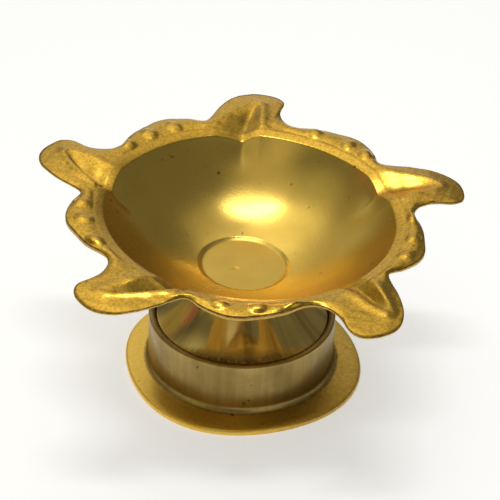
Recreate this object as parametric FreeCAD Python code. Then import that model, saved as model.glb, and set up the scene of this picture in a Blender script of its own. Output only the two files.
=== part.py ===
import FreeCAD, Part
import math
import os

# Five-wick brass oil lamp on a stand.  Millimetres.
# Origin: centre of the foot's resting plane.  +Z up, +Y towards the back spout.

# ---- foot ring: one spun ring, flat flange, upright band and turned-in top lip
BAND_R = 17.25
BAND_WALL = 0.8
BAND_FOOT_R = 17.55
FLANGE_R = 22.2
# the flange was trimmed by hand: how far its edge swings in and out, with the
# number of swings per turn and the direction of the first swing outwards
FLANGE_SWINGS = ((0.45, 1, 330.0), (0.4, 4, 155.0))
FLANGE_T = 1.3
SHOULDER_Z = 11.4
SHOULDER_R = 1.15
LIP_R = 16.0             # inner edge of the turned-in lip

# ---- stem: one spun bell, trumpet flank, closed top, skirt inside the band's lip
SKIRT_R = LIP_R
SKIRT_BOTTOM_Z = 8.2
STEM_FOOT_Z = 11.15
NECK_R = 9.1
NECK_Z = 18.7
STEM_WALL = 0.7

# ---- bowl: one pressed sheet, in its own frame before it is leaned
BOWL_X = -0.15           # the bowl was soldered on a little off centre
BOWL_Y = 0.7
LEAN_X = -0.0415         # rise of the rim per mm along +X (the right side sits low)
LEAN_Y = 0.0325          # rise of the rim per mm along +Y
PIVOT_Z = 19.4           # the lean turns about the joint with the stem
SHEET = 0.45
OPEN_R = 25.6
MOUTH_X = 0.35           # the well's mouth sits off the middle of its floor
MOUTH_Y = -0.85
WALL_TOP_Z = 33.3        # where the spherical well ends and the mouth rolls outwards
WELL_BALL = 31.6         # radius of the sphere
RIM_Z = 34.0
RIM_INNER_R = 27.6
RECESS_R = 8.05
RECESS_DEPTH = 0.4
PUNCH_AT = (-1.3, -1.2)
PUNCH_R = 0.7
PUNCH_DEPTH = 0.12

# ---- rim outline, one fifth of the turn: degrees from the spout's axis, radius
SPOUTS = 5
STEP = 360.0 / SPOUTS
FIRST_SPOUT = 92.1
SPOUT_LEAN = 0.33        # degrees the spout's grain turns clockwise per mm outwards
SPOUT_OUTLINE = (
    (-17.5, 29.4), (-13.8, 30.45), (-12.2, 31.7), (-11.3, 33.25), (-11.3, 35.55),
    (-11.4, 37.6), (-9.9, 39.2), (-6.8, 40.1), (-3.6, 40.4), (0.5, 39.75),
    (4.2, 37.9), (7.6, 35.25), (10.5, 32.65), (13.0, 30.55), (15.8, 29.45),
)
LOBE_OUTLINE = (
    (19.5, 30.25), (23.2, 31.1), (28.3, 31.95), (32.3, 32.1), (37.0, 31.55),
    (42.0, 31.0), (48.0, 30.15),
)
# each wick channel: where its bottom line starts at the opening, where it ends
# (mm sideways, clockwise positive), how far it is pressed down, and how wide its
# slope is on the anticlockwise and on the clockwise side
CHANNELS = (
    (-1.1, 2.2, 1.6, 5.6, 3.4), (-2.1, 3.2, 1.9, 2.2, 5.0), (-3.5, 3.2, 1.9, 2.0, 4.2),
    (-1.9, -0.7, 1.6, 2.2, 3.0), (-1.6, 1.3, 1.6, 4.3, 4.5),
)
CHANNEL_END = 36.6
RIDGE_H = 0.35
RIDGE_W = 1.1
# three raised beads on each lobe: degrees from the lobe's middle
LOBE_MID = 37.3
BEADS = (
    (-8.5, 2.5, 13.5), (-15.5, -6.0, 7.5), (-11.5, 0.6, 12.0), (-9.0, 1.5, 14.0), (-14.0, -5.5, 8.5),
)
BEAD_R = 29.1
BEAD_H = 0.42
LIP_DROP = 0.55          # extra depth of the edge in the middle of a lobe

COLUMNS_PER_FIFTH = 60
RIM_ROWS = 13


def smooth(a, b, x):
    t = min(1.0, max(0.0, (x - a) / (b - a)))
    return t * t * (3 - 2 * t)


def spline_of(points, samples):
    """Closed smooth curve through points, resampled evenly between them."""
    curve = Part.BSplineCurve()
    curve.interpolate([FreeCAD.Vector(*p) for p in points], PeriodicFlag=True)
    first, last = curve.FirstParameter, curve.LastParameter
    total = curve.length()
    params = [first + (last - first) * i / 2000.0 for i in range(2001)]
    places = [curve.value(p) for p in params]
    run = [0.0]
    for a, b in zip(places, places[1:]):
        run.append(run[-1] + (b - a).Length)
    out = []
    k = 0
    for i in range(samples):
        want = run[-1] * i / samples
        while run[k + 1] < want:
            k += 1
        f = (want - run[k]) / (run[k + 1] - run[k])
        out.append(places[k] + (places[k + 1] - places[k]) * f)
    return out


def root_angle(phi, r):
    """Where on the opening the grid line starts that ends at (phi, r) on the edge."""
    over = max(0.0, r - 30.0)
    return (phi + SPOUT_LEAN * over) * (1 - 0.02 * over)


def outline():
    """(x, y, root angle as a smooth third coordinate) round the whole rim."""
    pts = []
    for k in range(SPOUTS):
        base = FIRST_SPOUT + STEP * k
        fifth = [(phi, r, root_angle(phi, r)) for phi, r in SPOUT_OUTLINE]
        fifth += [(phi, r, phi) for phi, r in LOBE_OUTLINE]
        for phi, r, root in fifth:
            a = math.radians(base + phi)
            pts.append((r * math.cos(a), r * math.sin(a), root - phi))
    return spline_of(pts, COLUMNS_PER_FIFTH * SPOUTS)


def fold(x, y):
    """Which spout is nearest, with the sideways and outward distance in its frame."""
    ang = math.degrees(math.atan2(y, x))
    k = int(round((ang - FIRST_SPOUT) / STEP))
    a = math.radians(FIRST_SPOUT + STEP * k)
    out = x * math.cos(a) + y * math.sin(a)
    side = x * math.sin(a) - y * math.cos(a)
    return k % SPOUTS, side, out


def channel(x, y):
    """Height of the pressed wick channel and of the ridges beside it."""
    k, side, out = fold(x, y)
    start, end, depth, behind, ahead = CHANNELS[k]
    along = min(1.0, max(0.0, (out - OPEN_R) / (CHANNEL_END - OPEN_R)))
    mid = start + (end - start) * along ** 1.5
    left = min(1.0, max(0.0, (CHANNEL_END - out) / (CHANNEL_END - 27.0)))
    taper = math.sqrt(left) + 1e-3
    d = (side - mid) / (taper * (ahead if side > mid else behind))
    v = max(0.0, 1.007 - math.sqrt(d * d + 0.0144)) ** 1.4
    down = depth * smooth(0.0, 0.65, left) * v
    rows = 0.0
    for half, sign in ((ahead, 1), (behind, -1)):
        crest = math.exp(-((side - mid - sign * 1.1 * half * taper) / RIDGE_W) ** 2)
        rows += crest * min(1.0, max(0.0, (6.0 - half) / 2.6))
    up = RIDGE_H * min(1.0, rows) * smooth(25.5, 28.5, out)
    up *= 1 - smooth(CHANNEL_END - 0.3, CHANNEL_END + 1.5, out)
    return up - down


def beads(x, y):
    ang = math.degrees(math.atan2(y, x))
    r = math.hypot(x, y)
    k = int(round((ang - FIRST_SPOUT - LOBE_MID) / STEP))
    off = ang - FIRST_SPOUT - LOBE_MID - STEP * k
    h = 0.0
    for place in BEADS[k % SPOUTS]:
        across = math.radians(off - place) * BEAD_R / 1.5
        along = (r - BEAD_R) / 1.9
        h += BEAD_H * max(0.0, 1 - across ** 2 - along ** 2)
    return h


def rim_height(x, y, s):
    """Height of the rim's upper face above RIM_Z; s runs 0 to 1 across it."""
    side, out = fold(x, y)[1:]
    tongue = smooth(28.0, 31.0, out) * (1 - smooth(7.0, 9.0, abs(side)))
    crown = 0.35 * math.sin(math.pi * min(1.0, s)) * (1 - tongue)
    crown += 0.4 * (1 - s * s) * tongue
    tip = -0.25 * smooth(36.0, 41.0, out)
    return crown + tip + channel(x, y) + beads(x, y) * (1 - smooth(0.75, 1.0, s))


def lobe_share(x, y):
    """1 in the middle of a lobe, 0 at its ends and on the spouts."""
    ang = math.degrees(math.atan2(y, x))
    off = (ang - FIRST_SPOUT - LOBE_MID + STEP / 2) % STEP - STEP / 2
    return math.cos(min(1.0, abs(off) / 21.0) * math.pi / 2) ** 0.8


def well_floor(r):
    """Height of the spherical well at a distance from its middle."""
    crown = WALL_TOP_Z + math.sqrt(WELL_BALL ** 2 - OPEN_R ** 2)
    return crown - math.sqrt(WELL_BALL ** 2 - r ** 2)


# profile of the well from the recess outwards: radius, height, share of the
# rim's local shaping that reaches this row, direction of the sheet's normal
def well_rows():
    floor = well_floor(RECESS_R)
    low = floor - RECESS_DEPTH
    rows = [(7.1, low, 0, 90), (7.5, low, 0, 90), (7.85, low + 0.12, 0, 100)]
    rows += [(RECESS_R + 0.15, floor - 0.03, 0, 104)]
    rows += [(RECESS_R + 0.6, well_floor(RECESS_R + 0.6), 0, 105)]
    for r in (10.5, 13.0, 15.5, 18.0, 20.0, 21.8, 23.2, 24.2, 24.9, 25.35, OPEN_R):
        z = well_floor(r)
        slope = math.degrees(math.asin(r / WELL_BALL))
        rows.append((r, z, smooth(27.5, 33.2, z), 90 + slope))
    rows.append((OPEN_R + 0.15, WALL_TOP_Z + 0.14, 1, 125))
    rows.append((OPEN_R + 0.5, WALL_TOP_Z + 0.29, 1, 112))
    rows.append((OPEN_R + 1.2, RIM_Z - 0.13, 1, 110))
    rows.append((OPEN_R + 1.7, RIM_Z - 0.02, 1, 96))
    return rows


def mouth_shift(r):
    """How much of the mouth's sideways shift has built up at a radius."""
    return min(1.0, max(0.0, (r - 9.0) / (OPEN_R - 9.0)))


def lean(x, y, z):
    """Turn a point of the bowl's own frame into the lamp's frame."""
    return TILT.multVec(FreeCAD.Vector(x, y, z))


def tilt_placement():
    normal = FreeCAD.Vector(-LEAN_X, -LEAN_Y, 1).normalize()
    turn = FreeCAD.Rotation(FreeCAD.Vector(0, 0, 1), normal)
    return FreeCAD.Placement(FreeCAD.Vector(BOWL_X, BOWL_Y, 0), turn, FreeCAD.Vector(0, 0, PIVOT_Z))


TILT = tilt_placement()


def nets():
    edge = outline()
    wells = well_rows()
    top = []
    bottom = []
    for e in edge:
        phi = math.degrees(math.atan2(e.y, e.x))
        big = math.hypot(e.x, e.y)
        root = phi + e.z
        col_top = []
        col_bottom = []
        a = math.radians(root)
        ca, sa = math.cos(a), math.sin(a)
        for r, z, share, facing in wells:
            h = channel(OPEN_R * ca, OPEN_R * sa) * share if share > 0 else 0.0
            f = math.radians(facing)
            nr, nz = math.cos(f), math.sin(f)
            r += 0.25 * min(0.0, h)
            dx, dy = MOUTH_X * mouth_shift(r), MOUTH_Y * mouth_shift(r)
            col_top.append((r * ca + dx, r * sa + dy, z + h))
            rb = r - SHEET * nr
            col_bottom.append((rb * ca + dx, rb * sa + dy, z + h - SHEET * nz))
        for j in range(RIM_ROWS):
            s = j / (RIM_ROWS - 1.0)
            r = RIM_INNER_R + (big - RIM_INNER_R) * s
            a = math.radians(root + (phi - root) * s)
            x, y = r * math.cos(a), r * math.sin(a)
            z = RIM_Z + rim_height(x, y, s)
            thick = SHEET + LIP_DROP * lobe_share(x, y) * smooth(0.8, 1.0, s)
            dx, dy = MOUTH_X * (1 - s), MOUTH_Y * (1 - s)
            col_top.append((x + dx, y + dy, z))
            col_bottom.append((x + dx, y + dy, z - thick))
        top.append([lean(*p) for p in col_top])
        bottom.append([lean(*p) for p in col_bottom])
    return top, bottom


def surface(net, degree):
    """Closed round the lamp, clamped from the middle outwards."""
    around = len(net)
    across = len(net[0])
    inner = across - degree
    vknots = [float(i) for i in range(inner + 1)]
    vmults = [degree + 1] + [1] * (inner - 1) + [degree + 1]
    uknots = [float(i) for i in range(around + 1)]
    umults = [1] * (around + 1)
    s = Part.BSplineSurface()
    s.buildFromPolesMultsKnots(net, umults, vmults, uknots, vknots, True, False, 3, degree)
    return s


def disc_on(s, v):
    return Part.Face(Part.Wire([s.vIso(v).toShape()]))


def bowl():
    top_net, bottom_net = nets()
    top = surface(top_net, 3)
    bottom = surface(bottom_net, 3)
    strip_net = [[t[-1], b[-1]] for t, b in zip(top_net, bottom_net)]
    strip = surface(strip_net, 1)
    v0 = top.bounds()[2]
    faces = [top.toShape(), bottom.toShape(), strip.toShape()]
    faces += [disc_on(top, v0), disc_on(bottom, v0)]
    shell = Part.makeCompound(faces)
    shell.sewShape(1e-4)
    solid = Part.Solid(shell.Shells[0])
    if solid.Volume < 0:
        solid.reverse()
    # centre punch left by the spinning lathe
    low = well_rows()[0][1]
    ball = (PUNCH_R ** 2 + PUNCH_DEPTH ** 2) / (2 * PUNCH_DEPTH)
    return solid.cut(Part.makeSphere(ball, lean(*PUNCH_AT, low + ball - PUNCH_DEPTH)))


def turned(points):
    """Solid of revolution through (radius, height) points.

    A ("via", radius, height) entry is no corner: the arc between its two
    neighbours passes through it.
    """
    edges = []
    here = None
    first = None
    via = None
    for p in points:
        if p[0] == "via":
            via = FreeCAD.Vector(p[1], 0, p[2])
            continue
        there = FreeCAD.Vector(p[0], 0, p[1])
        if here is None:
            first = there
        elif via is not None:
            edges.append(Part.Arc(here, via, there).toShape())
        else:
            edges.append(Part.makeLine(here, there))
        via = None
        here = there
    edges.append(Part.makeLine(here, first))
    face = Part.Face(Part.Wire(edges))
    return face.revolve(FreeCAD.Vector(0, 0, 0), FreeCAD.Vector(0, 0, 1), 360)


def foot_ring():
    inner = BAND_R - BAND_WALL
    top = SHOULDER_Z
    k = SHOULDER_R * math.sqrt(0.5)
    band = turned([
        (inner, 0.0),
        (BAND_FOOT_R + 1.0, 0.0),
        (BAND_FOOT_R + 1.0, FLANGE_T),
        (BAND_FOOT_R + 0.5, FLANGE_T),
        ("via", BAND_FOOT_R - 0.05, FLANGE_T + 0.2),
        (BAND_R + 0.08, FLANGE_T + 0.9),
        (BAND_R, FLANGE_T + 3.0),
        (BAND_R, top - SHOULDER_R),
        ("via", BAND_R - SHOULDER_R + k, top - SHOULDER_R + k),
        (BAND_R - SHOULDER_R, top),
        (LIP_R, top - 0.08),
        (LIP_R, top - BAND_WALL),
        (inner, top - BAND_WALL - 0.35),
    ])
    rim = []
    for i in range(48):
        a = 2 * math.pi * i / 48
        r = FLANGE_R
        for swing, count, first in FLANGE_SWINGS:
            r += swing * math.cos(count * (a - math.radians(first)))
        rim.append(FreeCAD.Vector(r * math.cos(a), r * math.sin(a), 0))
    edge = Part.BSplineCurve()
    edge.interpolate(rim, PeriodicFlag=True)
    flange = Part.Face(Part.Wire([edge.toShape()])).extrude(FreeCAD.Vector(0, 0, FLANGE_T))
    flange = flange.makeFillet(0.35, flange.Edges)
    bore = Part.makeCylinder(inner, 5, FreeCAD.Vector(0, 0, -1))
    return band.fuse(flange).cut(bore).removeSplitter()


def seat_plane(drop):
    """A big block lying above the bowl's seat, lowered by drop."""
    low = well_rows()[0][1] - SHEET - drop
    block = Part.makeBox(80, 80, 40, FreeCAD.Vector(-40, -40, low))
    block.Placement = TILT
    return block


def stem():
    w = STEM_WALL
    flank = [("via", 12.1, 14.55), (NECK_R, NECK_Z)]
    outer = turned([
        (0, SKIRT_BOTTOM_Z),
        (SKIRT_R, SKIRT_BOTTOM_Z),
        (SKIRT_R, STEM_FOOT_Z - 0.3),
        ("via", SKIRT_R - 0.1, STEM_FOOT_Z - 0.1),
        (SKIRT_R - 0.3, STEM_FOOT_Z),
        *flank,
        (NECK_R, 24.0),
        (0, 24.0),
    ])
    inner = turned([
        (0, SKIRT_BOTTOM_Z - 1),
        (SKIRT_R - w, SKIRT_BOTTOM_Z - 1),
        (SKIRT_R - w, STEM_FOOT_Z - 0.75),
        ("via", 12.1 - w * 0.75, 14.55 - w * 0.75),
        (NECK_R - w, NECK_Z - 0.2),
        (NECK_R - w, 24.0),
        (0, 24.0),
    ])
    return outer.cut(seat_plane(0.0)).cut(inner.cut(seat_plane(w)))


def neck_solder(bell):
    """Fillet run into the corner between the neck and the bowl's underside."""
    rows = well_rows()
    under = []
    for r, z, share, facing in rows:
        f = math.radians(facing)
        under.append(FreeCAD.Vector(r - SHEET * math.cos(f), 0, z - SHEET * math.sin(f)))
    inner = len(under) - 3
    curve = Part.BSplineCurve()
    knots = [float(i) for i in range(inner + 1)]
    mults = [4] + [1] * (inner - 1) + [4]
    curve.buildFromPolesMultsKnots(under, mults, knots, False, 3)
    seat = curve.value(0.0)
    # the underside is followed out to where the fillet's toe meets it
    toe_at = 3.75
    piece = curve.copy()
    piece.segment(0.0, toe_at)
    toe = piece.value(piece.LastParameter)
    corner = FreeCAD.Vector(seat.x, 0, seat.z - 3.2)
    heel = FreeCAD.Vector(NECK_R - 0.3, 0, corner.z)
    hip = FreeCAD.Vector(NECK_R + 0.45, 0, seat.z - 1.6)
    mid = FreeCAD.Vector(NECK_R + 0.75, 0, seat.z - 0.55)
    edges = [
        piece.toShape(),
        Part.Arc(toe, mid, hip).toShape(),
        Part.makeLine(hip, heel),
        Part.makeLine(heel, corner),
        Part.makeLine(corner, seat),
    ]
    ring = Part.Face(Part.Wire(edges)).revolve(FreeCAD.Vector(0, 0, 0), FreeCAD.Vector(0, 0, 1), 360)
    ring.Placement = TILT
    core = turned([(0, 5), (NECK_R, 5), (NECK_R, 24.0), (0, 24.0)]).cut(seat_plane(0.0))
    return ring.cut(core).cut(bell)


def lip_solder():
    """Bead run in behind the lip, between the stem's skirt and the band."""
    inner = BAND_R - BAND_WALL
    top = SHOULDER_Z
    return turned([
        (SKIRT_R, 9.2),
        ("via", SKIRT_R + 0.2, 9.55),
        (inner, 9.4),
        (inner, top - BAND_WALL - 0.35),
        (SKIRT_R, top - BAND_WALL),
    ])


def largest(shape):
    solid = max(shape.Solids, key=lambda s: abs(s.Volume))
    if solid.Volume < 0:
        solid.reverse()
    return solid


os.makedirs("parts", exist_ok=True)
bell = largest(stem())
pieces = {
    "bowl": largest(bowl()),
    "stem": bell,
    "foot_ring": largest(foot_ring()),
    "neck_solder": largest(neck_solder(bell)),
    "lip_solder": largest(lip_solder()),
}
for name, shape in pieces.items():
    b = shape.BoundBox
    print(name, shape.isValid(), round(shape.Volume, 1), round(b.XLength, 2), round(b.YLength, 2))
    shape.exportStep("parts/" + name + ".step")
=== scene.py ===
import math

import bmesh
import bpy
import numpy as np
from mathutils import Matrix, Vector

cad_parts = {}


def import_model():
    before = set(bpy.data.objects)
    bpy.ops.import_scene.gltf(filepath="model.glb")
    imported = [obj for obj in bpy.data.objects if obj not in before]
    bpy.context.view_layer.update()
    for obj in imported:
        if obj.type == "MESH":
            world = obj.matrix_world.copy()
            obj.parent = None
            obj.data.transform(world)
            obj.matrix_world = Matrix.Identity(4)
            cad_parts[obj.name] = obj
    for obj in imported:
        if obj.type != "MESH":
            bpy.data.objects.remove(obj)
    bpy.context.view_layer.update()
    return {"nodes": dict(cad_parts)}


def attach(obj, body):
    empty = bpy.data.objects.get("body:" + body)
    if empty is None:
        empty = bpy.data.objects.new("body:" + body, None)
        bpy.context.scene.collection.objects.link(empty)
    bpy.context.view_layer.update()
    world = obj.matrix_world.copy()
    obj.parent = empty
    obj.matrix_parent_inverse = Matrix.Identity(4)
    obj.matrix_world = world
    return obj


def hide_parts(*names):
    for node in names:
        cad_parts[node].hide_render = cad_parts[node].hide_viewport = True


# Five-wick brass oil lamp on a stand.  Sizes are millimetres in the lamp's frame:
# origin at the centre of the foot's resting plane, +Z up, +Y towards the back spout.
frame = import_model()
MM = 0.001

# ------------------------------------------------------------------ sizes (mm)
# foot ring: flat flange, upright band, rounded shoulder, turned-in lip
BAND_R = 17.25
BAND_WALL = 0.8
BAND_FOOT_R = 17.55
FLANGE_R = 22.2
# the flange was trimmed by hand: how far its edge swings, swings per turn, first direction
FLANGE_SWINGS = ((0.45, 1, 330.0), (0.4, 4, 155.0))
FLANGE_T = 1.3
SHOULDER_Z = 11.4
SHOULDER_R = 1.15
LIP_R = 16.0

# stem: a spun bell with a closed top
SKIRT_BOTTOM_Z = 8.2
STEM_FOOT_Z = 11.15
NECK_R = 9.1
NECK_Z = 18.7
STEM_WALL = 0.7

# bowl: one pressed sheet, leaned about the joint with the stem
BOWL_X = -0.15
BOWL_Y = 0.7
LEAN_X = -0.0415
LEAN_Y = 0.0325
PIVOT_Z = 19.4
SHEET = 0.45
OPEN_R = 25.6
# the well's mouth sits off the middle of its floor
MOUTH_X = 0.35
MOUTH_Y = -0.85
WALL_TOP_Z = 33.3
WELL_BALL = 31.6
RIM_Z = 34.0
RIM_INNER_R = 27.6
RECESS_R = 8.05
RECESS_DEPTH = 0.4
PUNCH_AT = (-1.3, -1.2)
PUNCH_R = 0.7
PUNCH_DEPTH = 0.12

# rim: one fifth of its outline as degrees from the spout's axis and radius
SPOUTS = 5
STEP = 360.0 / SPOUTS
FIRST_SPOUT = 92.1
SPOUT_LEAN = 0.33
SPOUT_OUTLINE = (
    (-17.5, 29.4), (-13.8, 30.45), (-12.2, 31.7), (-11.3, 33.25), (-11.3, 35.55),
    (-11.4, 37.6), (-9.9, 39.2), (-6.8, 40.1), (-3.6, 40.4), (0.5, 39.75),
    (4.2, 37.9), (7.6, 35.25), (10.5, 32.65), (13.0, 30.55), (15.8, 29.45),
)
LOBE_OUTLINE = (
    (19.5, 30.25), (23.2, 31.1), (28.3, 31.95), (32.3, 32.1), (37.0, 31.55),
    (42.0, 31.0), (48.0, 30.15),
)
# wick channels: bottom line's sideways start and end, depth, width of the slope on
# the anticlockwise and on the clockwise side
CHANNELS = np.array([
    (-1.1, 2.2, 1.6, 5.6, 3.4), (-2.1, 3.2, 1.9, 2.2, 5.0), (-3.5, 3.2, 1.9, 2.0, 4.2),
    (-1.9, -0.7, 1.6, 2.2, 3.0), (-1.6, 1.3, 1.6, 4.3, 4.5),
])
CHANNEL_END = 36.6
RIDGE_H = 0.35
RIDGE_W = 1.1
# three beads to a lobe, in degrees from the lobe's middle
LOBE_MID = 37.3
BEADS = np.array(
    [(-8.5, 2.5, 13.5), (-15.5, -6.0, 7.5), (-11.5, 0.6, 12.0), (-9.0, 1.5, 14.0), (-14.0, -5.5, 8.5)]
)
BEAD_R = 29.1
BEAD_H = 0.42
BEAD_HALF_LONG = 1.9
BEAD_HALF_WIDE = 1.5
# extra depth of the sheared edge in the middle of a lobe
LIP_DROP = 0.55

COLUMNS = 560


# ------------------------------------------------------------------ helpers
def smooth(a, b, x):
    """0 below a, 1 above b, an even curve between."""
    t = np.clip((x - a) / (b - a), 0.0, 1.0)
    return t * t * (3 - 2 * t)


def ripple(x, y, z, wave, seed):
    """Smooth, repeatable unevenness between about -1 and 1."""
    k = 2 * math.pi / wave
    out = 0
    for i in range(6):
        a = 1.7 * i + seed
        b = 2.3 * i + 0.6 * seed
        d = (math.cos(a) * math.cos(b), math.sin(a) * math.cos(b), math.sin(b))
        out = out + np.sin(k * (1 + 0.23 * i) * (d[0] * x + d[1] * y + d[2] * z) + 5.1 * i + seed)
    return out / 3.2


def closed_spline(points, count):
    """Even samples of a smooth closed curve through points."""
    p = np.array(points, float)
    n = len(p)
    step = np.linalg.norm(np.roll(p, -1, 0)[:, :2] - p[:, :2], axis=1)
    back = np.roll(step, 1)
    a = np.zeros((n, n))
    rhs = np.zeros_like(p)
    for i in range(n):
        a[i, (i - 1) % n] += step[i]
        a[i, i] += 2 * (step[i] + back[i])
        a[i, (i + 1) % n] += back[i]
        ahead = (p[(i + 1) % n] - p[i]) / step[i]
        behind = (p[i] - p[i - 1]) / back[i]
        rhs[i] = 3 * (back[i] * ahead + step[i] * behind)
    slope = np.linalg.solve(a, rhs)
    fine = []
    t = np.linspace(0, 1, 60, endpoint=False)[:, None]
    for i in range(n):
        j = (i + 1) % n
        h = step[i]
        fine.append(
            p[i] * (1 + 2 * t) * (1 - t) ** 2 + slope[i] * h * t * (1 - t) ** 2
            + p[j] * t * t * (3 - 2 * t) + slope[j] * h * t * t * (t - 1)
        )
    fine = np.concatenate(fine)
    ring = np.concatenate([fine, fine[:1]])
    run = np.concatenate([[0], np.cumsum(np.linalg.norm(np.diff(ring[:, :2], axis=0), axis=1))])
    want = run[-1] * np.arange(count) / count
    return np.stack([np.interp(want, run, ring[:, k]) for k in range(3)], 1)


def mesh_object(name, verts_mm, faces, attributes=None):
    """Object on the root body from vertices in millimetres."""
    mesh = bpy.data.meshes.new(name)
    bm = bmesh.new()
    made = [bm.verts.new(v) for v in (np.asarray(verts_mm) * MM).tolist()]
    for f in faces:
        bm.faces.new([made[i] for i in f])
    bmesh.ops.recalc_face_normals(bm, faces=bm.faces[:])
    bm.to_mesh(mesh)
    bm.free()
    mesh.shade_smooth()
    for key, values in (attributes or {}).items():
        layer = mesh.attributes.new(key, "FLOAT", "POINT")
        layer.data.foreach_set("value", np.asarray(values, np.float32))
    obj = bpy.data.objects.new(name, mesh)
    bpy.context.scene.collection.objects.link(obj)
    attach(obj, "root")
    return obj


def lean():
    """Turn that tips the bowl's own frame into the lamp's frame."""
    normal = Vector((-LEAN_X, -LEAN_Y, 1)).normalized()
    turn = Vector((0, 0, 1)).rotation_difference(normal).to_matrix()
    return np.array(turn)


# ------------------------------------------------------------------ bowl
def fold(x, y):
    """Nearest spout, with the sideways and outward distance in its frame."""
    ang = np.degrees(np.arctan2(y, x))
    k = np.rint((ang - FIRST_SPOUT) / STEP).astype(int)
    a = np.radians(FIRST_SPOUT + STEP * k)
    out = x * np.cos(a) + y * np.sin(a)
    side = x * np.sin(a) - y * np.cos(a)
    return k % SPOUTS, side, out


def channel_parts(x, y):
    """The pressed wick channel (down) and the ridges beside it (up)."""
    k, side, out = fold(x, y)
    start, end, depth, behind, ahead = np.moveaxis(CHANNELS[k], -1, 0)
    along = np.clip((out - OPEN_R) / (CHANNEL_END - OPEN_R), 0, 1)
    mid = start + (end - start) * along ** 1.5
    left = np.clip((CHANNEL_END - out) / (CHANNEL_END - 27.0), 0, 1)
    taper = np.sqrt(left) + 1e-3
    d = (side - mid) / (taper * np.where(side > mid, ahead, behind))
    v = np.maximum(0, 1.007 - np.sqrt(d * d + 0.0144)) ** 1.4
    down = depth * smooth(0, 0.65, left) * v
    rows = 0
    for half, sign in ((ahead, 1), (behind, -1)):
        crest = np.exp(-(((side - mid - sign * 1.1 * half * taper) / RIDGE_W) ** 2))
        rows = rows + crest * np.clip((6.0 - half) / 2.6, 0, 1)
    up = RIDGE_H * np.minimum(1, rows) * smooth(25.5, 28.5, out)
    up = up * (1 - smooth(CHANNEL_END - 0.3, CHANNEL_END + 1.5, out))
    return up, down


def lobe_offset(x, y):
    """Nearest lobe and the angle from its middle."""
    ang = np.degrees(np.arctan2(y, x)) - FIRST_SPOUT - LOBE_MID
    k = np.rint(ang / STEP).astype(int)
    return k % SPOUTS, ang - STEP * k


def beads(x, y):
    """Height of the domed beads."""
    k, off = lobe_offset(x, y)
    r = np.hypot(x, y)
    h = 0
    for i in range(3):
        across = np.radians(off - BEADS[k, i]) * BEAD_R / BEAD_HALF_WIDE
        along = (r - BEAD_R) / BEAD_HALF_LONG
        h = h + BEAD_H * np.maximum(0, 1 - across ** 2 - along ** 2)
    return h


def rim_height(x, y, s):
    """Height of the rim's face above RIM_Z; s runs 0 to 1 across it."""
    k, side, out = fold(x, y)
    tongue = smooth(28.0, 31.0, out) * (1 - smooth(7.0, 9.0, np.abs(side)))
    crown = 0.35 * np.sin(math.pi * s) * (1 - tongue) + 0.4 * (1 - s * s) * tongue
    up, down = channel_parts(x, y)
    tip = -0.25 * smooth(36.0, 41.0, out)
    return crown + tip + up - down + beads(x, y) * (1 - smooth(0.75, 1.0, s))


def lobe_share(x, y):
    """1 in the middle of a lobe, 0 at its ends and on the spouts."""
    off = lobe_offset(x, y)[1]
    return np.cos(np.minimum(1, np.abs(off) / 21.0) * math.pi / 2) ** 0.8


def rim_outline():
    """x, y and how far the grid line's root lies ahead, round the whole rim."""
    points = []
    for k in range(SPOUTS):
        base = FIRST_SPOUT + STEP * k
        for phi, r in SPOUT_OUTLINE + LOBE_OUTLINE:
            over = max(0.0, r - 30.0) if (phi, r) in SPOUT_OUTLINE else 0.0
            root = (phi + SPOUT_LEAN * over) * (1 - 0.02 * over)
            a = math.radians(base + phi)
            points.append((r * math.cos(a), r * math.sin(a), root - phi))
    return closed_spline(points, COLUMNS)


def well_floor(r):
    """Height of the spherical well at a distance from its middle."""
    crown = WALL_TOP_Z + math.sqrt(WELL_BALL ** 2 - OPEN_R ** 2)
    return crown - math.sqrt(WELL_BALL ** 2 - r ** 2)


def well_profile():
    """Rows from the middle out: radius, height, share of rim shaping, normal."""
    low = well_floor(RECESS_R) - RECESS_DEPTH
    rows = [(r, low, 0.0, 90.0) for r in (0.25, 0.5, 0.8, 1.1, 1.4, 1.7, 2.0, 2.3, 3.0, 4.0, 5.2, 6.2, 6.8)]
    for r in np.arange(7.1, 8.7, 0.12):
        rise = (well_floor(max(r, RECESS_R)) - low) * float(smooth(7.35, 8.45, r))
        rows.append((r, low + rise, 0.0, 100.0))
    wall = math.asin(OPEN_R / WELL_BALL)
    for t in np.linspace(math.asin(8.9 / WELL_BALL), wall - 0.008, 46):
        r = WELL_BALL * math.sin(t)
        z = well_floor(r)
        rows.append((r, z, float(smooth(27.5, 33.2, z)), 90 + math.degrees(t)))
    # a narrow sloping band leads from the crisp mouth to the flat of the rim
    for out, up, facing in (
        (0.0, 0.0, 138), (0.06, 0.07, 128), (0.16, 0.13, 120), (0.32, 0.2, 114), (0.6, 0.31, 111),
        (0.9, 0.42, 110), (1.2, 0.53, 108), (1.45, 0.61, 104), (1.65, 0.66, 99), (1.85, 0.69, 94),
    ):
        rows.append((OPEN_R + out, WALL_TOP_Z + up, 1.0, facing))
    return rows


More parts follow.
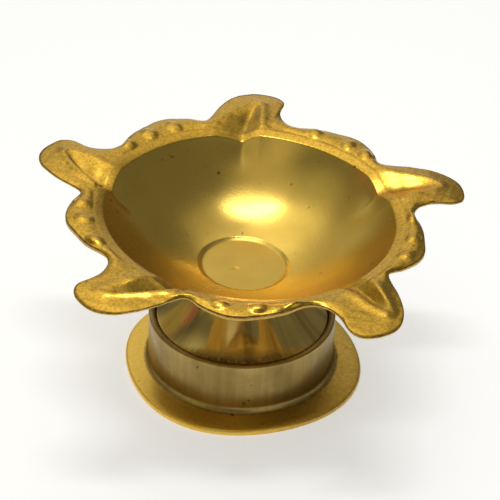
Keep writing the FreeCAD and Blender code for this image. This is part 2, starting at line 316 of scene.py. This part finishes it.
class Sheet:
    """Rows of points round the bowl, with the masks its material uses."""

    def __init__(self):
        self.rows = []
        self.masks = {"rim": [], "shade_and_dirt": [], "under": []}

    def add(self, x, y, z, rim, shade_and_dirt, under):
        self.rows.append(np.stack([x, y, z], 1))
        for key, value in (("rim", rim), ("shade_and_dirt", shade_and_dirt), ("under", under)):
            self.masks[key].append(np.broadcast_to(value, x.shape).copy())

    def mesh(self, name):
        """Closed mesh through the rows, capped at both ends and leaned."""
        count = len(self.rows)
        ends = [[0, 0, self.rows[0][0, 2]], [0, 0, self.rows[-1][0, 2]]]
        verts = np.concatenate(self.rows + [ends])
        verts = (verts - (0, 0, PIVOT_Z)) @ lean().T + (BOWL_X, BOWL_Y, PIVOT_Z)
        faces = []
        last = (count - 1) * COLUMNS
        for i in range(COLUMNS):
            k = (i + 1) % COLUMNS
            for j in range(0, last, COLUMNS):
                faces.append((j + i, j + k, j + COLUMNS + k, j + COLUMNS + i))
            faces.append((count * COLUMNS, k, i))
            faces.append((count * COLUMNS + 1, last + i, last + k))
        values = {key: np.concatenate(v + [[v[0][0], v[-1][0]]]) for key, v in self.masks.items()}
        return mesh_object(name, verts, faces, values)


def well_sheet(sheet, root):
    """Upper side of the well and mouth; gives back the rows of its underside."""
    a = np.radians(root)
    up, down = channel_parts(OPEN_R * np.cos(a), OPEN_R * np.sin(a))
    hidden = []
    for r, z, share, facing in well_profile():
        h = (up - down) * share
        rr = r + 0.25 * np.minimum(0, h)
        shift = np.clip((rr - 9.0) / (OPEN_R - 9.0), 0, 1)
        dx, dy = MOUTH_X * shift, MOUTH_Y * shift
        x, y = rr * np.cos(a) + dx, rr * np.sin(a) + dy
        dent = 0.05 * ripple(x, y, z, 19.0, 2.0) * smooth(9.0, 16.0, r)
        reach = ((x - PUNCH_AT[0]) ** 2 + (y - PUNCH_AT[1]) ** 2) / PUNCH_R ** 2
        punch = -PUNCH_DEPTH * np.maximum(0, 1 - reach)
        f = math.radians(facing)
        # painted shade darkens the floor's step and the line where the mouth meets the rim
        shade_and_dirt = 0.35 * math.exp(-((r - 7.75) / 0.35) ** 2)
        shade_and_dirt += 0.3 * math.exp(-((r - OPEN_R - 1.8) / 0.12) ** 2)
        rim = share * smooth(OPEN_R - 0.1, OPEN_R + 0.1, r)
        sheet.add(
            x + dent * np.cos(a) * math.cos(f), y + dent * np.sin(a) * math.cos(f),
            z + h + punch + dent * math.sin(f), rim, shade_and_dirt, 0.0,
        )
        rb = rr - SHEET * math.cos(f)
        hidden.append((rb * np.cos(a) + dx, rb * np.sin(a) + dy, z + h - SHEET * math.sin(f)))
    return hidden


def rim_point(s, phi, root, big):
    """Places across the rim before the mouth's shift; s runs 0 to 1."""
    r = RIM_INNER_R + (big - RIM_INNER_R) * s
    a = np.radians(root + (phi - root) * s)
    return r * np.cos(a), r * np.sin(a)


def bowl():
    edge = rim_outline()
    phi = np.degrees(np.arctan2(edge[:, 1], edge[:, 0]))
    big = np.hypot(edge[:, 0], edge[:, 1])
    root = phi + edge[:, 2]
    tangent = np.roll(edge[:, :2], -1, 0) - np.roll(edge[:, :2], 1, 0)
    tangent /= np.linalg.norm(tangent, axis=1)[:, None]
    outward = np.stack([tangent[:, 1], -tangent[:, 0]], 1)

    sheet = Sheet()
    hidden = well_sheet(sheet, root)

    # upper face of the rim, its troughs smoother than the rest
    across = 1 - (1 - np.linspace(0, 1, 46)[1:]) ** 1.2
    for s in across:
        x, y = rim_point(s, phi, root, big)
        down = channel_parts(x, y)[1]
        z = RIM_Z + rim_height(x, y, s)
        z = z + 0.04 * ripple(x, y, 0, 6.5, 1.0)
        z = z + 0.03 * (1 - smooth(0, 0.4, down)) * ripple(x, y, 0, 2.2, 4.0)
        # darker along the channels' bottoms, and painted shade along the rim's outer edge
        channel_and_edge_dark = 0.25 * smooth(0.8, 1.5, down) + 0.9 * smooth(0.95, 0.99, s)
        sheet.add(x + MOUTH_X * (1 - s), y + MOUTH_Y * (1 - s), z, 1.0, channel_and_edge_dark, 0.0)

    # the sheared edge: a burr, a shallow groove, a rounded lower corner, all darkened with painted shade
    x, y, z = sheet.rows[-1].T
    thick = SHEET + LIP_DROP * lobe_share(x, y)
    for push, part, shade_and_dirt in (
        (0.07, 0.08, 1.0), (0.03, 0.2, 1.0), (0.0, 0.32, 0.9),
        (0.05, 0.55, 0.25), (0.06, 0.8, 0.3), (-0.02, 0.97, 1.0),
    ):
        sheet.add(x + push * outward[:, 0], y + push * outward[:, 1], z - thick * part, 1.0, shade_and_dirt, 0.3)

    # underside of the rim and of the well, darkened with painted shade
    for s in across[::-4]:
        x, y = rim_point(s, phi, root, big - 0.15)
        drop = SHEET + LIP_DROP * lobe_share(x, y) * smooth(0.8, 1.0, s)
        z = RIM_Z + rim_height(x, y, s) - drop
        sheet.add(x + MOUTH_X * (1 - s), y + MOUTH_Y * (1 - s), z, 1.0, 0.5, 1.0)
    for x, y, z in hidden[::-1][::4]:
        sheet.add(x, y, z, 0.0, 0.3, 1.0)

    obj = sheet.mesh("bowl_sheet")
    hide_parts("bowl")
    return obj


# ------------------------------------------------------------------ turned pieces
def rounded(corners, per_corner=5):
    """Profile through (r, z, rounding) corners, each corner turned into an arc."""
    out = []
    n = len(corners)
    for i, (r, z, rad) in enumerate(corners):
        here = np.array((r, z), float)
        if rad <= 0:
            out.append(here)
            continue
        a = np.array(corners[i - 1][:2], float) - here
        b = np.array(corners[(i + 1) % n][:2], float) - here
        la, lb = np.linalg.norm(a), np.linalg.norm(b)
        a, b = a / la, b / lb
        reach = min(rad, 0.45 * la, 0.45 * lb)
        p, q = here + a * reach, here + b * reach
        for t in np.linspace(0, 1, per_corner):
            out.append(p * (1 - t) ** 2 + here * 2 * t * (1 - t) + q * t * t)
    return np.array(out)


def refine(profile, longest, closed):
    """Splits long runs of a profile so that unevenness has points to move."""
    out = []
    pairs = zip(profile, np.roll(profile, -1, 0)) if closed else zip(profile[:-1], profile[1:])
    for a, b in pairs:
        n = max(1, int(np.linalg.norm(b - a) / longest))
        out += [a + (b - a) * k / n for k in range(n)]
    if not closed:
        out.append(profile[-1])
    return np.array(out)


def turned(profile, columns, closed=True):
    """Vertices and faces of a profile turned about Z."""
    ang = np.linspace(0, 2 * math.pi, columns, endpoint=False)
    n = len(profile)
    verts = np.stack([
        profile[:, 0, None] * np.cos(ang), profile[:, 0, None] * np.sin(ang),
        np.broadcast_to(profile[:, 1, None], (n, columns)),
    ], 2).reshape(-1, 3)
    faces = []
    for j in range(n if closed else n - 1):
        m = (j + 1) % n
        for i in range(columns):
            k = (i + 1) % columns
            faces.append((j * columns + i, j * columns + k, m * columns + k, m * columns + i))
    if not closed:
        verts = np.concatenate([verts, [[0, 0, profile[0, 1]], [0, 0, profile[-1, 1]]]])
        for i in range(columns):
            k = (i + 1) % columns
            faces.append((n * columns, k, i))
            faces.append((n * columns + 1, (n - 1) * columns + i, (n - 1) * columns + k))
    return verts, faces


def foot_ring():
    inner = BAND_R - BAND_WALL
    corners = [
        (inner, 0.0, 0.15), (FLANGE_R - 0.1, 0.0, 0.35), (FLANGE_R, 0.55, 0.2), (FLANGE_R - 0.2, 1.12, 0.35),
        (FLANGE_R - 1.2, FLANGE_T - 0.08, 0.3), (BAND_FOOT_R + 0.75, FLANGE_T, 0.25),
        (BAND_FOOT_R + 0.15, FLANGE_T + 0.12, 0.2), (BAND_R + 0.05, FLANGE_T + 0.95, 0.5),
        (BAND_R, SHOULDER_Z - SHOULDER_R, 0), (BAND_R, SHOULDER_Z, 1.2),
        (LIP_R + 0.03, SHOULDER_Z - 0.05, 0.12), (LIP_R, SHOULDER_Z - BAND_WALL, 0.1),
        (inner, SHOULDER_Z - BAND_WALL - 0.35, 0.2),
    ]
    profile = refine(rounded(corners, 7), 0.35, True)
    verts, faces = turned(profile, 320)
    r = np.hypot(verts[:, 0], verts[:, 1])
    out = smooth(BAND_FOOT_R + 0.3, FLANGE_R, r)
    around = np.arctan2(verts[:, 1], verts[:, 0])
    swing = sum(a * np.cos(n * (around - math.radians(first))) for a, n, first in FLANGE_SWINGS)
    verts[:, 0] += swing * out * verts[:, 0] / r
    verts[:, 1] += swing * out * verts[:, 1] / r
    x, y, z = verts.T
    uneven = 0.05 * ripple(x, y, z, 14.0, 3.0)
    wall = smooth(FLANGE_T, FLANGE_T + 1.5, z) * (1 - smooth(SHOULDER_Z - 1.0, SHOULDER_Z - 0.4, z))
    verts[:, 0] += uneven * wall * x / r
    verts[:, 1] += uneven * wall * y / r
    verts[:, 2] += 0.06 * ripple(x, y, z, 21.0, 7.0) * out * smooth(0.5, 1.1, z)
    # darker in the corner round the band; painted shade inside the lip, on the band's inner wall and on the
    # flange's right side
    shade_and_dirt = 0.55 * np.exp(-(((r - BAND_FOOT_R - 0.45) / 0.25) ** 2)) * (z > 0.9)
    shade_and_dirt = shade_and_dirt + 0.25 * np.exp(-(((r - LIP_R) / 0.15) ** 2)) * (z > 9) + (r < inner + 0.01)
    flange = smooth(BAND_FOOT_R + 0.1, BAND_FOOT_R + 0.6, r)
    shade_and_dirt = shade_and_dirt + 0.4 * flange * smooth(0.1, 0.8, np.cos(around - math.radians(-10.0)))
    obj = mesh_object("foot_ring_turned", verts, faces, {"shade_and_dirt": np.minimum(1, shade_and_dirt), "rim": flange})
    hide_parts("foot_ring")
    return obj


def stem():
    """Trumpet bell with a closed, slightly leaning top that the bowl sits on."""
    seat = well_floor(RECESS_R) - RECESS_DEPTH - SHEET
    w = STEM_WALL

    def flank(shift, sink):
        t = np.linspace(0, 1, 40)[:, None]
        foot = np.array((LIP_R - 0.3 - shift, STEM_FOOT_Z - sink))
        knee = np.array((12.1 - 0.75 * shift, 14.55 - 0.75 * shift))
        neck = np.array((NECK_R - shift, NECK_Z - sink * 0.3))
        pull = 2 * knee - 0.5 * (foot + neck)
        return foot * (1 - t) ** 2 + pull * 2 * t * (1 - t) + neck * t * t

    outer = flank(0.0, 0.0)
    inner = flank(w, 0.45)[::-1]
    profile = np.concatenate([
        [(1.0, seat - w), (NECK_R - w - 0.3, seat - w), (NECK_R - w, seat - w - 0.3)], inner,
        [(LIP_R - w, SKIRT_BOTTOM_Z), (LIP_R, SKIRT_BOTTOM_Z), (LIP_R, STEM_FOOT_Z - 0.3),
         (LIP_R - 0.08, STEM_FOOT_Z - 0.09)], outer,
        [(NECK_R, seat - 0.35), (NECK_R - 0.1, seat - 0.1), (NECK_R - 0.35, seat), (1.0, seat)],
    ])
    profile = refine(profile, 0.35, False)
    verts, faces = turned(profile, 288, closed=False)
    x, y, z = verts.T
    lift = (LEAN_X * (x - BOWL_X) + LEAN_Y * (y - BOWL_Y)) * smooth(NECK_Z - 1.0, seat - w - 0.2, z)
    r = np.maximum(1e-6, np.hypot(x, y))
    uneven = 0.03 * ripple(x, y, z, 11.0, 5.0) * smooth(STEM_FOOT_Z, STEM_FOOT_Z + 1.5, z)
    verts[:, 0] += uneven * x / r
    verts[:, 1] += uneven * y / r
    verts[:, 2] += lift
    # painted shade along the foot's lip, a painted dark reflection in a wider patch at the front, and
    # painted shade at the neck under the bowl
    front = smooth(0.72, 0.97, -y / r)
    shade_and_dirt = (0.15 + 0.8 * front) * np.exp(-(((z - STEM_FOOT_Z) / (0.15 + 0.8 * front)) ** 2))
    shade_and_dirt = shade_and_dirt + smooth(NECK_Z - 1.0, NECK_Z + 0.8, z)
    obj = mesh_object("stem_bell", verts, faces, {"shade_and_dirt": np.minimum(1, shade_and_dirt)})
    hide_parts("stem")
    return obj


# ------------------------------------------------------------------ materials
def node(tree, kind, **inputs):
    n = tree.nodes.new(kind)
    for key, value in inputs.items():
        if key in n.inputs:
            n.inputs[key].default_value = value
        else:
            setattr(n, key, value)
    return n


def ramp(tree, source, stops):
    n = tree.nodes.new("ShaderNodeValToRGB")
    line = n.color_ramp
    line.elements[0].position, line.elements[0].color = stops[0][0], (*stops[0][1], 1)
    line.elements[1].position, line.elements[1].color = stops[-1][0], (*stops[-1][1], 1)
    for at, colour in stops[1:-1]:
        line.elements.new(at).color = (*colour, 1)
    tree.links.new(source, n.inputs["Fac"])
    return n.outputs["Color"]


def grey(v):
    return (v, v, v)


def mix(tree, fac, a, b, kind="RGBA", blend="MIX"):
    n = tree.nodes.new("ShaderNodeMix")
    n.data_type = kind
    n.blend_type = blend
    slot = {"RGBA": (6, 7, 2), "FLOAT": (2, 3, 0)}[kind]
    for at, value in ((0, fac), (slot[0], a), (slot[1], b)):
        if isinstance(value, bpy.types.NodeSocket):
            tree.links.new(value, n.inputs[at])
        elif isinstance(value, tuple):
            n.inputs[at].default_value = (*value, 1)
        else:
            n.inputs[at].default_value = value
    return n.outputs[slot[2]]


def maths(tree, op, a, b=0.0):
    n = tree.nodes.new("ShaderNodeMath")
    n.operation = op
    for socket, value in zip(n.inputs, (a, b)):
        if isinstance(value, bpy.types.NodeSocket):
            tree.links.new(value, socket)
        else:
            socket.default_value = value
    return n.outputs[0]


def noise_of(tree, coords, scale, detail=3.0, rough=0.55, stretch=None):
    if stretch:
        m = node(tree, "ShaderNodeMapping")
        m.inputs["Scale"].default_value = stretch
        tree.links.new(coords, m.inputs["Vector"])
        coords = m.outputs[0]
    n = node(tree, "ShaderNodeTexNoise", Scale=scale, Detail=detail, Roughness=rough)
    tree.links.new(coords, n.inputs["Vector"])
    return n.outputs["Fac"]


def brass(name, light, deep, rough, mottled=140.0, grain=0.05, brushed=0.0, rim=None,
          reflection_bands=0.0, dark_tone=(0.07, 0.035, 0.01)):
    """Brass with mottled colour, uneven polish, fine grain, and dirt and painted shade in its creases.

    The mesh's attributes mark its parts: "rim" a second finish, given by rim as
    (light, deep, roughness, grain), the darkening mask dirt and painted shade, and "under"
    the underside, darker as painted shade. brushed adds drawn upright lines, and the
    bands argument adds painted reflections: bands that fan out from the axis.
    """
    mat = bpy.data.materials.new(name)
    mat.use_nodes = True
    tree = mat.node_tree
    shader = tree.nodes["Principled BSDF"]
    shader.inputs["Metallic"].default_value = 1.0
    where = tree.nodes.new("ShaderNodeTexCoord").outputs["Object"]
    cloud = noise_of(tree, where, mottled, 4.0)
    fine = noise_of(tree, where, 1300.0, 3.0)
    shade_and_dirt = node(tree, "ShaderNodeAttribute", attribute_name="shade_and_dirt").outputs["Fac"]
    edge = node(tree, "ShaderNodeAttribute", attribute_name="rim").outputs["Fac"]
    colour = ramp(tree, cloud, [(0.35, deep), (0.65, light)])
    polish = ramp(tree, cloud, [(0.3, grey(rough * 1.25)), (0.7, grey(rough * 0.8))])
    strength = grain
    if rim:
        sparkle = ramp(tree, noise_of(tree, where, 2100.0, 2.0), [(0.35, rim[1]), (0.6, rim[0])])
        colour = mix(tree, edge, colour, sparkle)
        polish = mix(tree, edge, polish, grey(rim[2]))
        strength = mix(tree, edge, grain, rim[3], "FLOAT")
    specks = ramp(tree, noise_of(tree, where, 620.0, 2.0), [(0.235, grey(0.3)), (0.29, grey(1.0))])
    colour = mix(tree, 1.0, colour, specks, blend="MULTIPLY")
    # the underside's darker colour is painted shade
    below = node(tree, "ShaderNodeAttribute", attribute_name="under").outputs["Fac"]
    colour = mix(tree, below, colour, (0.62, 0.45, 0.17))
    if reflection_bands:
        # painted reflections: the bearing round the lamp's axis, as a direction, is all that the bands
        # follow
        flat = tree.nodes.new("ShaderNodeVectorMath")
        flat.operation = "MULTIPLY"
        tree.links.new(where, flat.inputs[0])
        flat.inputs[1].default_value = (1.0, 1.0, 0.0)
        bearing = tree.nodes.new("ShaderNodeVectorMath")
        bearing.operation = "NORMALIZE"
        tree.links.new(flat.outputs[0], bearing.inputs[0])
        bands = noise_of(tree, bearing.outputs[0], 5.0, 3.0)
        shade = ramp(tree, bands, [(0.36, grey(0.55)), (0.48, (0.9, 0.86, 0.8)), (0.62, grey(1.0))])
        colour = mix(tree, reflection_bands, colour, mix(tree, 1.0, colour, shade, blend="MULTIPLY"))
    if brushed:
        lines = noise_of(tree, where, 900.0, 3.0, stretch=(1.0, 1.0, 0.05))
        shade = ramp(tree, lines, [(0.3, grey(0.86)), (0.5, grey(1.0)), (0.7, grey(1.08))])
        lined = mix(tree, 1.0, colour, shade, blend="MULTIPLY")
        colour = mix(tree, edge, lined, colour)
    # dirt and painted shade, mixed towards the darkest brown
    darkening = maths(tree, "MULTIPLY", shade_and_dirt, ramp(tree, fine, [(0.3, grey(0.6)), (0.65, grey(1.0))]))
    colour = mix(tree, darkening, colour, dark_tone)
    polish = mix(tree, darkening, polish, grey(0.55))
    tree.links.new(colour, shader.inputs["Base Color"])
    tree.links.new(polish, shader.inputs["Roughness"])
    height = noise_of(tree, where, 2400.0, 2.0)
    if brushed:
        height = mix(tree, brushed, height, lines, "FLOAT")
    if rim:
        dimples = noise_of(tree, where, 750.0, 3.0)
        height = mix(tree, maths(tree, "MULTIPLY", edge, 0.65), height, dimples, "FLOAT")
    bump = node(tree, "ShaderNodeBump", Distance=0.0002)
    tree.links.new(height, bump.inputs["Height"])
    if rim:
        tree.links.new(strength, bump.inputs["Strength"])
    else:
        bump.inputs["Strength"].default_value = grain
    tree.links.new(bump.outputs[0], shader.inputs["Normal"])
    return mat


def dress(obj, mat):
    obj.data.materials.clear()
    obj.data.materials.append(mat)


# ------------------------------------------------------------------ build
bowl_obj = bowl()
foot_obj = foot_ring()
stem_obj = stem()
dress(bowl_obj, brass(
    "brass_bowl", (0.82, 0.56, 0.12), (0.73, 0.49, 0.10), 0.23, grain=0.06,
    rim=((0.78, 0.47, 0.07), (0.56, 0.33, 0.04), 0.25, 0.16),
))
# the band's colour is painted shade: the same brass as the flange, which takes the "rim" colours, darkened
dress(foot_obj, brass(
    "brass_foot", (0.38, 0.27, 0.09), (0.29, 0.20, 0.065), 0.30, grain=0.16, brushed=0.8,
    rim=((0.93, 0.62, 0.13), (0.84, 0.54, 0.10), 0.34, 0.06),
))
dress(stem_obj, brass("brass_stem", (0.80, 0.57, 0.18), (0.72, 0.50, 0.15), 0.10, grain=0.02, reflection_bands=0.8))
solder = brass("brass_solder", (0.55, 0.42, 0.20), (0.38, 0.28, 0.12), 0.42, mottled=300.0, grain=0.3)
for name in ("neck_solder", "lip_solder"):
    dress(frame["nodes"][name], solder)


# ------------------------------------------------------------------ stage, light, camera
FLOOR_HALF = 3.0
FLOOR_COLOUR = (0.87, 0.88, 0.91)


def floor():
    """Plain pale ground, lit a little from within so that it stays near white."""
    mesh = bpy.data.meshes.new("floor")
    bm = bmesh.new()
    bmesh.ops.create_grid(bm, x_segments=2, y_segments=2, size=FLOOR_HALF)
    bm.to_mesh(mesh)
    bm.free()
    obj = bpy.data.objects.new("floor", mesh)
    bpy.context.scene.collection.objects.link(obj)
    mat = bpy.data.materials.new("floor")
    mat.use_nodes = True
    shader = mat.node_tree.nodes["Principled BSDF"]
    shader.inputs["Base Color"].default_value = (*FLOOR_COLOUR, 1)
    shader.inputs["Roughness"].default_value = 0.9
    shader.inputs["Specular IOR Level"].default_value = 0.1
    shader.inputs["Emission Color"].default_value = (*FLOOR_COLOUR, 1)
    shader.inputs["Emission Strength"].default_value = 0.53
    mesh.materials.append(mat)


def area_light(name, at, target, size, power):
    data = bpy.data.lights.new(name, "AREA")
    data.shape = "RECTANGLE"
    data.size, data.size_y = size
    data.energy = power
    obj = bpy.data.objects.new(name, data)
    at = Vector(at)
    turn = (at - Vector(target)).to_track_quat("Z", "Y").to_matrix().to_4x4()
    obj.matrix_world = Matrix.Translation(at) @ turn
    bpy.context.scene.collection.objects.link(obj)


def world():
    """A dim room with broad soft glows; the coloured ones are for the stem's reflections."""
    w = bpy.data.worlds.new("studio")
    bpy.context.scene.world = w
    w.use_nodes = True
    tree = w.node_tree
    back = tree.nodes["Background"]
    where = tree.nodes.new("ShaderNodeTexCoord").outputs["Generated"]
    total = None
    glows = (
        # bearing (0 front, 90 right), height, full within, gone beyond, colour
        (180, 50, 4, 30, (0.50, 0.48, 0.42)),
        (-150, 34, 4, 30, (0.32, 0.31, 0.26)),
        (180, 14, 4, 20, (0.50, 0.49, 0.42)),
        (-135, 66, 4, 26, (0.74, 0.72, 0.62)),
        (140, 66, 4, 26, (0.32, 0.30, 0.26)),
        (-10, 60, 4, 26, (0.35, 0.32, 0.26)),
        (-22, 30, 4, 22, (0.32, 0.30, 0.26)),
        (30, 10, 4, 24, (0.55, 0.55, 0.46)),
        (-50, 12, 4, 22, (0.45, 0.50, 0.10)),
        (-96, 20, 3, 11, (0.17, 0.02, 0.03)),
        (-118, 20, 6, 20, (0.15, 0.11, 0.01)),
        (-78, 16, 3, 11, (0.25, 0.20, 0.02)),
        (-90, 60, 4, 30, (0.30, 0.30, 0.24)),
    )
    for bearing, height, full, gone, colour in glows:
        b, h = math.radians(bearing), math.radians(height)
        toward = (math.sin(b) * math.cos(h), -math.cos(b) * math.cos(h), math.sin(h))
        dot = tree.nodes.new("ShaderNodeVectorMath")
        dot.operation = "DOT_PRODUCT"
        tree.links.new(where, dot.inputs[0])
        dot.inputs[1].default_value = toward
        fall = tree.nodes.new("ShaderNodeMapRange")
        fall.interpolation_type = "SMOOTHSTEP"
        fall.inputs["From Min"].default_value = math.cos(math.radians(gone))
        fall.inputs["From Max"].default_value = math.cos(math.radians(full))
        tree.links.new(dot.outputs["Value"], fall.inputs["Value"])
        light = mix(tree, fall.outputs[0], (0.0, 0.0, 0.0), colour)
        if total is None:
            total = mix(tree, 1.0, light, (0.16, 0.16, 0.14), blend="ADD")
        else:
            total = mix(tree, 1.0, total, light, blend="ADD")
    tree.links.new(total, back.inputs["Color"])


bpy.context.scene.view_settings.view_transform = "Standard"
world()
floor()
area_light("strip_top", (0.0, 0.0, 0.55), (0, 0, 0.03), (0.24, 0.05), 0.6)

# camera: aimed at the lamp from the front, above it, rolled slightly
CAM_DISTANCE = 250.94
CAM_ELEVATION = math.radians(33.4555)
CAM_ROLL = math.radians(2.23)
CAM_TARGET = Vector((1.0, 0.0, 24.59)) * MM
camera_data = bpy.data.cameras.new("camera")
camera_data.sensor_width = 36.0
camera_data.lens = 100.8
camera_data.clip_start = 0.01
camera = bpy.data.objects.new("camera", camera_data)
back = Vector((0, -math.cos(CAM_ELEVATION), math.sin(CAM_ELEVATION)))
camera.matrix_world = (
    Matrix.Translation(CAM_TARGET + back * CAM_DISTANCE * MM)
    @ Matrix.Rotation(math.pi / 2 - CAM_ELEVATION, 4, "X")
    @ Matrix.Rotation(CAM_ROLL, 4, "Z")
)
bpy.context.scene.collection.objects.link(camera)
bpy.context.scene.camera = camera
